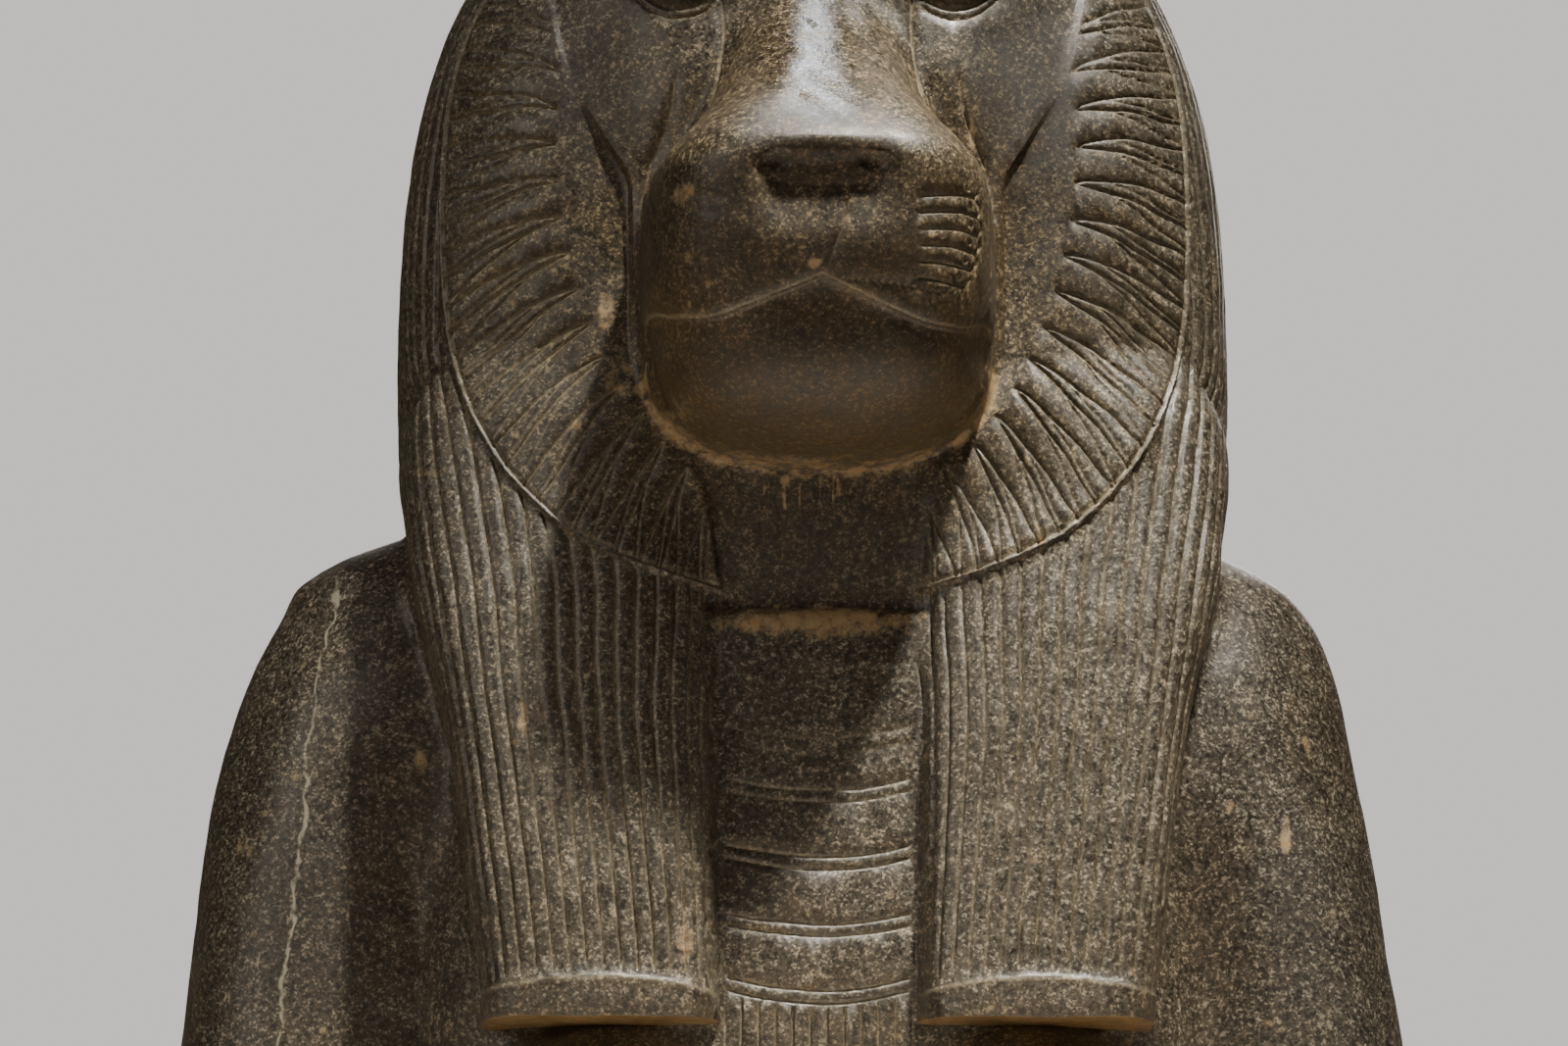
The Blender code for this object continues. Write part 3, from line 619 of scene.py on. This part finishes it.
def makeStatue():
    # rows x columns grid, closed by a fan at the foot and at the crown, then thinned where it is smooth
    levels, bearings = gridLines()
    points, dust = carvedSurface(levels, bearings)
    stain = jawLine(points)
    low, high = points.min(axis=(1, 2)), points.max(axis=(1, 2))
    part = (cadHigh[2] - cadLow[2]) / (high[2] - low[2])
    middle, cadMiddle = footMiddle(low, high), footMiddle(cadLow, cadHigh)
    rows, columns = points.shape[1:]
    foot, crown = block["axisBack"]
    ends = np.array([[0, foot, levels[0]], [0, crown, levels[-1]]])
    corners = (np.vstack([points.reshape(3, -1).T, ends]) - middle) * part + cadMiddle
    index = np.arange(rows * columns).reshape(rows, columns)
    after = np.roll(index, -1, axis=1)
    quads = np.stack([index[:-1], after[:-1], after[1:], index[1:]], axis=-1).reshape(-1, 4)
    footFan = np.stack([np.full(columns, rows * columns), after[0], index[0]], axis=-1)
    crownFan = np.stack([np.full(columns, rows * columns + 1), index[-1], after[-1]], axis=-1)
    loops = np.concatenate([quads.ravel(), footFan.ravel(), crownFan.ravel()]).astype(np.int32)
    sizes = np.concatenate([np.full(len(quads), 4), np.full(2 * columns, 3)])
    starts = np.concatenate([[0], np.cumsum(sizes)[:-1]]).astype(np.int32)
    mesh = bpy.data.meshes.new("statueGrid")
    mesh.vertices.add(len(corners))
    mesh.vertices.foreach_set("co", corners.astype(np.float32).ravel())
    mesh.loops.add(len(loops))
    mesh.loops.foreach_set("vertex_index", loops)
    mesh.polygons.add(len(sizes))
    mesh.polygons.foreach_set("loop_start", starts)
    mesh.update(calc_edges=True)
    for name, values in (("dust", dust), ("stain", stain)):
        attribute = mesh.attributes.new(name, "FLOAT", "POINT")
        attribute.data.foreach_set("value", np.append(values.ravel(), [0, 0]).astype(np.float32))
    report("grid of %d faces" % len(sizes))
    grid = bpy.data.objects.new("statueGrid", mesh)
    bpy.context.scene.collection.objects.link(grid)
    fewer = grid.modifiers.new("fewer faces", "DECIMATE")
    fewer.ratio = statueLook["triangles"] / (2 * len(quads) + 2 * columns)
    finished = bpy.data.meshes.new_from_object(grid.evaluated_get(bpy.context.evaluated_depsgraph_get()))
    bpy.data.objects.remove(grid)
    finished.name = "carvedStatue"
    finished.shade_smooth()
    finished.set_sharp_from_angle(angle=math.radians(statueLook["sharpEdge"]))
    statue = bpy.data.objects.new("carvedStatue", finished)
    bpy.context.scene.collection.objects.link(statue)
    report("statue of %d triangles" % len(finished.polygons))
    return statue, cadMiddle - middle * part, part


# Granodiorite: grains of three minerals, brown clouds, a worn polish, lime in the cuts and iron spots, with
# painted shade and painted brown bounce light

statueLook = {
    "triangles": 194000,
    "sharpEdge": 55,                 # degrees
    "darkGrain": (0.020, 0.016, 0.011),
    "midGrain": (0.068, 0.056, 0.040),
    "paleGrain": (0.30, 0.265, 0.205),
    "driftTint": (0.62, 0.56, 0.47),
    "patchTint": (1.3, 1.15, 0.92),
    "clumpTint": (0.45, 0.42, 0.40),
    # the tint of the painted shade in the dark patches
    "shadePatchTint": (0.42, 0.40, 0.36),
    # painted warm shade: a tint and a brown for faces that look down, and a brown over the muzzle, the neck
    # and the inner mane
    "underTint": (1.2, 0.9, 0.45),
    "brown": (0.085, 0.052, 0.020),
    "shadeWash": (0.97, 0.84, 0.60),
    "shadeWashMiddle": (0, -110, 385),    # in parts
    "shadeWashSize": (150, 110, 125),
    "lime": (0.36, 0.29, 0.18),
    "veinColour": (0.42, 0.38, 0.28),
    # iron stains, and the painted brown bounce light under the lappets
    "ironAndBounce": (0.40, 0.235, 0.085),
    "grainsPerMetre": 1150,
    "polish": 0.40,                  # roughness of the plain stone
    "bridgePolish": 0.17,            # and of the nose's bridge
    "bridgeMiddle": (1, -130, 458),
    "bridgeSize": (21, 70, 60),
    "refraction": 1.55,
    "pitHeight": 0.0003,             # metres
}

# Stains placed in parts: middle (x, y, z), half sizes, strength

stains = {
    "collarLedge": ((0, -88, 251.5), (50, 30, 8.5), 1.0),
    "besideJawLeft": ((-83, -100, 375), (5, 60, 11), 0.75),
    "underCheekLeft": ((-78, -100, 350), (8, 60, 16), 0.55),
    "whiskerLeft": ((-52, -170, 400), (6, 40, 6), 0.85),
    "mouthMiddle": ((-3, -180, 371), (4, 30, 3), 1.0),
    "tearRight": ((61, -110, 446), (2.5, 60, 10), 0.7),
    "jawLeft": ((-56, -110, 326), (12, 50, 7), 0.6),
    "wigLeft": ((-152, -60, 312), (8, 60, 3.5), 0.7),
    "ruffLeft": ((-94, -100, 328), (4, 60, 4), 0.7),
    "lappetHigh": ((-113, -110, 208), (3, 60, 8), 0.75),
    "lappetFoot": ((-50, -120, 123), (5, 50, 8), 0.7),
    "armInnerLeft": ((-155, -60, 203), (4, 60, 7), 0.7),
    "armLeft": ((-224, -50, 168), (4, 60, 5), 0.7),
    "armRightHigh": ((195, -40, 212), (3, 60, 8), 0.7),
    "armRightLow": ((184, -50, 172), (3.5, 60, 9), 0.75),
    "armRightInner": ((162, -50, 184), (3, 60, 5), 0.6),
    "lappetRight": ((86, -110, 284), (3, 60, 8), 0.6),
}

drips = {"middle": (0, -95, 303), "half": (34, 40, 12), "noiseScale": (420.0, 60.0, 45.0)}

# The vein down the left arm: its line between two levels in parts, then metres

vein = {"heights": (85, 275), "across": (-208, -193), "wander": 0.005, "edges": (0.0010, 0.0003),
        "topFade": (0.285, 0.275)}

# Painted shade: dark, duller patches under the nose and on the muzzle, chin, neck, cheeks, mane and arms,
# placed as the stains are

shadePatches = {
    "underNose": ((1, -150, 418), (38, 40, 15), 0.95),
    "muzzleFront": ((0, -150, 386), (60, 60, 26), 0.4),
    "chin": ((-6, -150, 334), (50, 50, 17), 0.6),
    "muzzleLeft": ((-66, -130, 388), (9, 60, 26), 0.6),
    "muzzleRight": ((66, -130, 372), (7, 60, 20), 0.5),
    "neck": ((0, -90, 286), (44, 40, 22), 0.6),
    "cheekLeft": ((-90, -90, 462), (16, 60, 34), 0.6),
    "cheekRight": ((84, -90, 466), (24, 60, 38), 0.85),
    "armLeft": ((-196, -50, 138), (20, 50, 40), 0.45),
    "armRight": ((205, -50, 130), (34, 60, 50), 0.35),
    "ruffRight": ((100, -90, 420), (20, 60, 50), 0.4),
    "ruffLeft": ((-104, -90, 352), (28, 60, 48), 0.45),
}


class Nodes:
    # a material's node tree with short ways to add and join nodes; origin and part turn parts into metres
    def __init__(self, material, origin=(0, 0, 0), part=1.0):
        material.use_nodes = True
        self.tree = material.node_tree
        self.shader = self.tree.nodes["Principled BSDF"]
        self.origin = origin
        self.part = part

    def add(self, kind, inputs=None, **settings):
        node = self.tree.nodes.new(kind)
        for name, value in settings.items():
            setattr(node, name, value)
        for name, value in (inputs or {}).items():
            self.join(value, node.inputs[name])
        return node

    def join(self, value, socket):
        if isinstance(value, bpy.types.NodeSocket):
            self.tree.links.new(value, socket)
        else:
            socket.default_value = value

    def ramp(self, value, *stops):
        node = self.add("ShaderNodeValToRGB", {"Fac": value})
        elements = node.color_ramp.elements
        while len(elements) < len(stops):
            elements.new(0.5)
        for element, (place, colour) in zip(elements, stops):
            element.position = place
            element.color = (*colour, 1)
        return node.outputs["Color"]

    def span(self, value, low, high, toLow=0.0, toHigh=1.0):
        node = self.add("ShaderNodeMapRange", {"Value": value, "From Min": low, "From Max": high,
                                               "To Min": toLow, "To Max": toHigh})
        return node.outputs["Result"]

    def math(self, operation, a, b=0.0):
        node = self.add("ShaderNodeMath", operation=operation)
        self.join(a, node.inputs[0])
        self.join(b, node.inputs[1])
        return node.outputs[0]

    def times(self, a, b):
        return self.math("MULTIPLY", a, b)

    def plus(self, a, b):
        return self.math("ADD", a, b)

    def mix(self, factor, a, b, blend="MIX"):
        node = self.add("ShaderNodeMix", data_type="RGBA", blend_type=blend)
        self.join(factor, node.inputs["Factor"])
        self.join(a if isinstance(a, bpy.types.NodeSocket) else (*a, 1), node.inputs[6])
        self.join(b if isinstance(b, bpy.types.NodeSocket) else (*b, 1), node.inputs[7])
        return node.outputs[2]

    def tinted(self, factor, colour, tint):
        # the colour times a tint, as far as the factor says
        return self.mix(factor, colour, self.mix(1.0, colour, tint, "MULTIPLY"))

    def noise(self, place, scale, detail=4.0, roughness=0.55):
        node = self.add("ShaderNodeTexNoise", {"Vector": place, "Scale": scale, "Detail": detail,
                                               "Roughness": roughness})
        return node.outputs["Fac"]

    def metres(self, axis, value):
        # a place along one axis, counted in parts, as metres
        return value * self.part + self.origin[axis]

    def fromMiddle(self, place, middle, halfSizes):
        # length of (place - middle) / half sizes, given in parts: 1 on a ball stretched to those sizes
        halves = [half * self.part for half in halfSizes]
        node = self.add("ShaderNodeVectorMath", operation="MULTIPLY_ADD")
        self.join(place, node.inputs[0])
        node.inputs[1].default_value = [1 / half for half in halves]
        node.inputs[2].default_value = [-self.metres(axis, middle[axis]) / halves[axis] for axis in range(3)]
        length = self.add("ShaderNodeVectorMath", operation="LENGTH")
        self.join(node.outputs["Vector"], length.inputs[0])
        return length.outputs["Value"]


def stoneFields(n):
    # places, carved attributes and noises, from broad to fine, that the finish is mixed from
    coordinates = n.add("ShaderNodeTexCoord")
    place = coordinates.outputs["Object"]
    cells = n.add("ShaderNodeTexVoronoi", {"Vector": place, "Scale": statueLook["grainsPerMetre"]})
    return {
        "place": place,
        "apart": n.add("ShaderNodeSeparateXYZ", {"Vector": place}).outputs,
        "facing": n.add("ShaderNodeSeparateXYZ", {"Vector": coordinates.outputs["Normal"]}).outputs["Z"],
        "dust": n.add("ShaderNodeAttribute", attribute_name="dust").outputs["Fac"],
        "jawLime": n.add("ShaderNodeAttribute", attribute_name="stain").outputs["Fac"],
        "cell": n.add("ShaderNodeSeparateXYZ", {"Vector": cells.outputs["Color"]}).outputs["X"],
        "drift": n.noise(place, 13, 4.0, 0.6),
        "patchy": n.noise(place, 95, 5.0, 0.7),
        "ragged": n.noise(place, 170, 5.0, 0.75),
        "clump": n.noise(place, 420, 3.0, 0.65),
        "broken": n.noise(place, 520, 3.0, 0.75),
    }


def grains(n, field):
    # a random value to each Voronoi cell, clumped by noise, sorted into dark, middle and pale
    look = statueLook
    value = n.plus(n.times(field["cell"], 0.34), n.times(field["clump"], 0.72))
    value = n.plus(value, n.span(field["patchy"], 0.3, 0.7, -0.06, 0.06))
    stone = n.ramp(value, (0.37, look["darkGrain"]), (0.51, look["midGrain"]), (0.60, look["midGrain"]),
                   (0.78, look["paleGrain"]))
    return stone, value


def clouds(n, field, stone):
    # broad drifts darker, small patches paler, and dark where the clumping noise is low
    stone = n.tinted(n.span(field["drift"], 0.40, 0.66, 0.0, 0.5), stone, statueLook["driftTint"])
    stone = n.tinted(n.span(field["patchy"], 0.45, 0.72, 0.0, 0.6), stone, statueLook["patchTint"])
    return n.tinted(n.span(field["clump"], 0.50, 0.30, 0.0, 0.7), stone, statueLook["clumpTint"])


def paintedShadePatches(n, field):
    # painted shade: 1 well inside a dark patch, 0 outside, over an edge made ragged by noise
    edge = n.times(field["ragged"], 0.9)
    dark = 0.0
    for middle, halfSizes, strength in shadePatches.values():
        away = n.plus(n.fromMiddle(field["place"], middle, halfSizes), edge)
        dark = n.math("MAXIMUM", dark, n.span(away, 1.9, 1.1, 0.0, strength))
    return dark


def paintedWarmShade(n, field, stone):
    # painted warm shade: a brown tint over the muzzle, the neck and the inner mane, and painted brown shade
    # on faces that look down
    look = statueLook
    shadeWash = n.span(n.fromMiddle(field["place"], look["shadeWashMiddle"], look["shadeWashSize"]), 1.1, 0.6)
    stone = n.tinted(n.times(shadeWash, 0.85), stone, look["shadeWash"])
    under = n.times(n.span(field["facing"], 0.05, -0.5), n.span(field["patchy"], 0.3, 0.6, 0.35, 0.85))
    return n.mix(under, stone, n.mix(0.45, look["brown"], n.mix(1.0, stone, look["underTint"], "MULTIPLY")))


def paintedFootBounce(n, field):
    # painted brown bounce light on the undersides of the lappets: |z - foot| under 5 to 7 mm, on faces that
    # look down
    fromFoot = n.math("SUBTRACT", field["apart"]["Z"], n.metres(2, block["lappetFoot"]))
    onFoot = n.times(n.span(field["facing"], -0.4, -0.9), n.span(n.math("ABSOLUTE", fromFoot), 0.007, 0.005))
    return n.times(onFoot, n.span(field["ragged"], 0.35, 0.6, 0.3, 0.9))


def limeInCuts(n, field):
    # what stays in the cuts, broken up
    lime = n.times(field["dust"], n.span(field["broken"], 0.36, 0.60, 0.25, 0.85))
    return n.times(lime, n.span(field["drift"], 0.35, 0.60, 0.9, 0.5))


def paleVein(n, field):
    # |x - line(z)|, from 1 mm at its edge to 0.3 mm, in front only
    apart = field["apart"]
    course = n.span(apart["Z"], *[n.metres(2, at) for at in vein["heights"]],
                    *[n.metres(0, at) for at in vein["across"]])
    wander = n.span(n.noise(field["place"], 34, 3.0, 0.6), 0.3, 0.7, -vein["wander"], vein["wander"])
    aside = n.math("SUBTRACT", apart["X"], n.plus(course, wander))
    onVein = n.span(n.math("ABSOLUTE", aside), *vein["edges"])
    onVein = n.times(onVein, n.span(apart["Y"], 0.0, -0.01))
    onVein = n.times(onVein, n.span(field["ragged"], 0.38, 0.52))
    onVein = n.times(onVein, n.span(apart["Z"], *vein["topFade"]))
    return n.times(onVein, 0.75)


def tanStains(n, field):
    # the jaw's line, its drips and the placed spots, seen where stain + 2.2 noise passes 1.5, and flecks
    place, patchy, ragged = field["place"], field["patchy"], field["ragged"]
    stain = n.times(field["jawLime"], n.span(patchy, 0.38, 0.56, 0.45, 1.0))
    for middle, halfSizes, strength in stains.values():
        away = n.fromMiddle(place, middle, halfSizes)
        stain = n.math("MAXIMUM", stain, n.span(away, 1.25, 0.35, 0.0, strength))
    stretched = n.add("ShaderNodeVectorMath", {0: place, 1: drips["noiseScale"]}, operation="MULTIPLY")
    streaks = n.span(n.noise(stretched.outputs["Vector"], 1.0, 2.0), 0.50, 0.66)
    below = n.span(n.fromMiddle(place, drips["middle"], drips["half"]), 1.1, 0.5)
    stain = n.math("MAXIMUM", stain, n.times(n.times(below, streaks), 0.85))
    stained = n.span(n.plus(stain, n.times(ragged, 2.2)), 1.50, 2.0)
    flecks = n.add("ShaderNodeTexVoronoi", {"Vector": place, "Scale": 60.0}).outputs["Distance"]
    flecks = n.span(n.plus(flecks, n.times(ragged, 0.25)), 0.24, 0.19)
    flecks = n.times(flecks, n.span(patchy, 0.48, 0.58))
    return n.math("MAXIMUM", stained, n.times(flecks, 0.5))


def polish(n, field, dirt, dark):
    # best on the bridge of the nose, duller in patches, and where lime or a stain lies
    look = statueLook
    bridge = n.fromMiddle(field["place"], look["bridgeMiddle"], look["bridgeSize"])
    rough = n.span(field["patchy"], 0.3, 0.7, look["polish"] - 0.06, look["polish"] + 0.12)
    rough = n.math("SUBTRACT", rough, n.span(bridge, 1.3, 0.9, 0.0, look["polish"] - look["bridgePolish"]))
    rough = n.plus(rough, n.times(dirt, 0.3))
    rough = n.plus(rough, n.span(field["cell"], 0.0, 1.0, -0.05, 0.06))
    return n.plus(rough, n.times(dark, 0.3))


def granodiorite(origin, part):
    look = statueLook
    material = bpy.data.materials.new("granodiorite")
    n = Nodes(material, origin, part)
    field = stoneFields(n)
    stone, grainValue = grains(n, field)
    stone = clouds(n, field, stone)
    dark = paintedShadePatches(n, field)
    # painted shade in the dark patches
    stone = n.tinted(dark, stone, look["shadePatchTint"])
    # painted warm shade on the muzzle, neck and inner mane, and on faces that look down
    stone = paintedWarmShade(n, field, stone)
    # painted brown bounce light on the lappets' undersides
    stone = n.mix(paintedFootBounce(n, field), stone, look["ironAndBounce"])
    lime = limeInCuts(n, field)
    stone = n.mix(lime, stone, look["lime"])
    stone = n.mix(paleVein(n, field), stone, look["veinColour"])
    stained = tanStains(n, field)
    tan = n.mix(n.span(field["broken"], 0.35, 0.65), look["ironAndBounce"], look["lime"])
    stone = n.mix(n.times(stained, n.span(field["ragged"], 0.35, 0.6, 0.6, 0.95)), stone, tan)
    n.join(stone, n.shader.inputs["Base Color"])
    n.join(polish(n, field, n.math("MAXIMUM", lime, stained), dark), n.shader.inputs["Roughness"])
    n.shader.inputs["IOR"].default_value = look["refraction"]
    # fine pits and grains as a bump
    height = n.plus(n.times(grainValue, 0.8), n.times(field["broken"], 0.7))
    bump = n.add("ShaderNodeBump", {"Height": height, "Strength": 0.5, "Distance": look["pitHeight"]})
    n.join(bump.outputs["Normal"], n.shader.inputs["Normal"])
    return material


statue, origin, part = makeStatue()
statue.data.materials.clear()
statue.data.materials.append(granodiorite(origin, part))
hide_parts("statue")
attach(statue, "root")
report("stone finish")


# Studio: a round pale floor, soft light from above and a camera that looks up as the photograph does

studio = {
    "floorRadius": 0.80,
    "floorColour": (0.62, 0.60, 0.57),
    "backdropColour": (0.80, 0.77, 0.73),
    "roomColour": (1.0, 0.80, 0.56),     # the dim light from all sides
    "roomStrength": 0.060,
    "distance": 2.0,
    "elevation": -12.0,
    "azimuth": -0.9,
    "aim": (-11.6, 0, 310),      # what the picture's middle shows, in parts
    "pictureWidth": 0.64,        # metres across the picture at the aim
    "filmWidth": 36,             # millimetres
}

# Lamps: place, target, size, watts, colour, spread in degrees

chest = (0.0, -0.1, 0.3)
lamps = {
    "key": ((0.55, -0.77, 2.32), (0.0, -0.12, -0.10), (0.12, 0.12), 2.6, (1.0, 0.95, 0.85), 20),
    "overhead": ((0.0, 0.08, 1.75), (0, 0, 0.5), (0.055, 1.12), 6.4, (0.88, 0.95, 1.0), 180),
    "left": ((-1.5, -1.2, 0.9), chest, (1.0, 1.0), 8.5, (1.0, 0.92, 0.80), 180),
    "right": ((1.6, -0.3, 1.0), chest, (0.7, 1.0), 0.5, (1.0, 0.92, 0.82), 180),
    "behind": ((0.3, 2.0, 1.5), chest, (1.6, 1.2), 34, (1.0, 0.96, 0.91), 180),
}


def makeFloor():
    # a disc of rings round the statue
    turn = np.linspace(0, 2 * np.pi, 129)[:-1]
    rings = np.array([0.25, 0.5, 0.75, 1.0]) * studio["floorRadius"]
    x = (rings[:, None] * np.cos(turn)).ravel()
    y = (rings[:, None] * np.sin(turn)).ravel()
    index = np.arange(len(x)).reshape(len(rings), -1)
    after = np.roll(index, -1, axis=1)
    faces = np.stack([index[:-1], index[1:], after[1:], after[:-1]], axis=-1).reshape(-1, 4).tolist()
    faces.append(index[0].tolist())
    mesh = bpy.data.meshes.new("floor")
    mesh.from_pydata(np.stack([x, y, np.full(len(x), -0.0005)], axis=-1).tolist(), [], faces)
    floor = bpy.data.objects.new("floor", mesh)
    bpy.context.scene.collection.objects.link(floor)
    material = bpy.data.materials.new("pale floor")
    n = Nodes(material)
    place = n.add("ShaderNodeTexCoord").outputs["Object"]
    n.join(n.mix(n.noise(place, 6, 3.0), studio["floorColour"], [0.96 * v for v in studio["floorColour"]]),
           n.shader.inputs["Base Color"])
    n.shader.inputs["Roughness"].default_value = 0.7
    mesh.materials.append(material)


def areaLight(name, place, target, size, watts, colour, spread):
    light = bpy.data.lights.new(name, "AREA")
    light.shape = "RECTANGLE"
    light.size, light.size_y = size
    light.energy = watts
    light.color = colour
    light.spread = math.radians(spread)
    lamp = bpy.data.objects.new(name, light)
    bpy.context.scene.collection.objects.link(lamp)
    lamp.location = place
    lamp.rotation_euler = (Vector(target) - Vector(place)).to_track_quat("-Z", "Y").to_euler()


def makeStudio():
    makeFloor()
    for name, settings in lamps.items():
        areaLight(name, *settings)
    # the backdrop that the camera sees is pale, the light it gives is dim
    world = bpy.data.worlds.new("studio")
    world.use_nodes = True
    tree = world.node_tree
    room = tree.nodes["Background"]
    room.inputs["Color"].default_value = (*studio["roomColour"], 1)
    room.inputs["Strength"].default_value = studio["roomStrength"]
    backdrop = tree.nodes.new("ShaderNodeBackground")
    backdrop.inputs["Color"].default_value = (*studio["backdropColour"], 1)
    seen = tree.nodes.new("ShaderNodeLightPath")
    both = tree.nodes.new("ShaderNodeMixShader")
    tree.links.new(seen.outputs["Is Camera Ray"], both.inputs["Fac"])
    tree.links.new(room.outputs["Background"], both.inputs[1])
    tree.links.new(backdrop.outputs["Background"], both.inputs[2])
    tree.links.new(both.outputs["Shader"], tree.nodes["World Output"].inputs["Surface"])
    bpy.context.scene.world = world


def makeCamera(origin, part):
    # aim point plus distance along the azimuth and elevation, lens = film width x distance / picture width
    aim = Vector([at * part + start for at, start in zip(studio["aim"], origin)])
    turn, rise = math.radians(studio["azimuth"]), math.radians(studio["elevation"])
    back = Vector((math.sin(turn) * math.cos(rise), -math.cos(turn) * math.cos(rise), math.sin(rise)))
    lens = bpy.data.cameras.new("camera")
    lens.sensor_width = studio["filmWidth"]
    lens.lens = studio["filmWidth"] * studio["distance"] / studio["pictureWidth"]
    camera = bpy.data.objects.new("camera", lens)
    camera.location = aim + back * studio["distance"]
    camera.rotation_euler = (-back).to_track_quat("-Z", "Y").to_euler()
    bpy.context.scene.collection.objects.link(camera)
    bpy.context.scene.camera = camera


makeStudio()
makeCamera(origin, part)
report("studio")
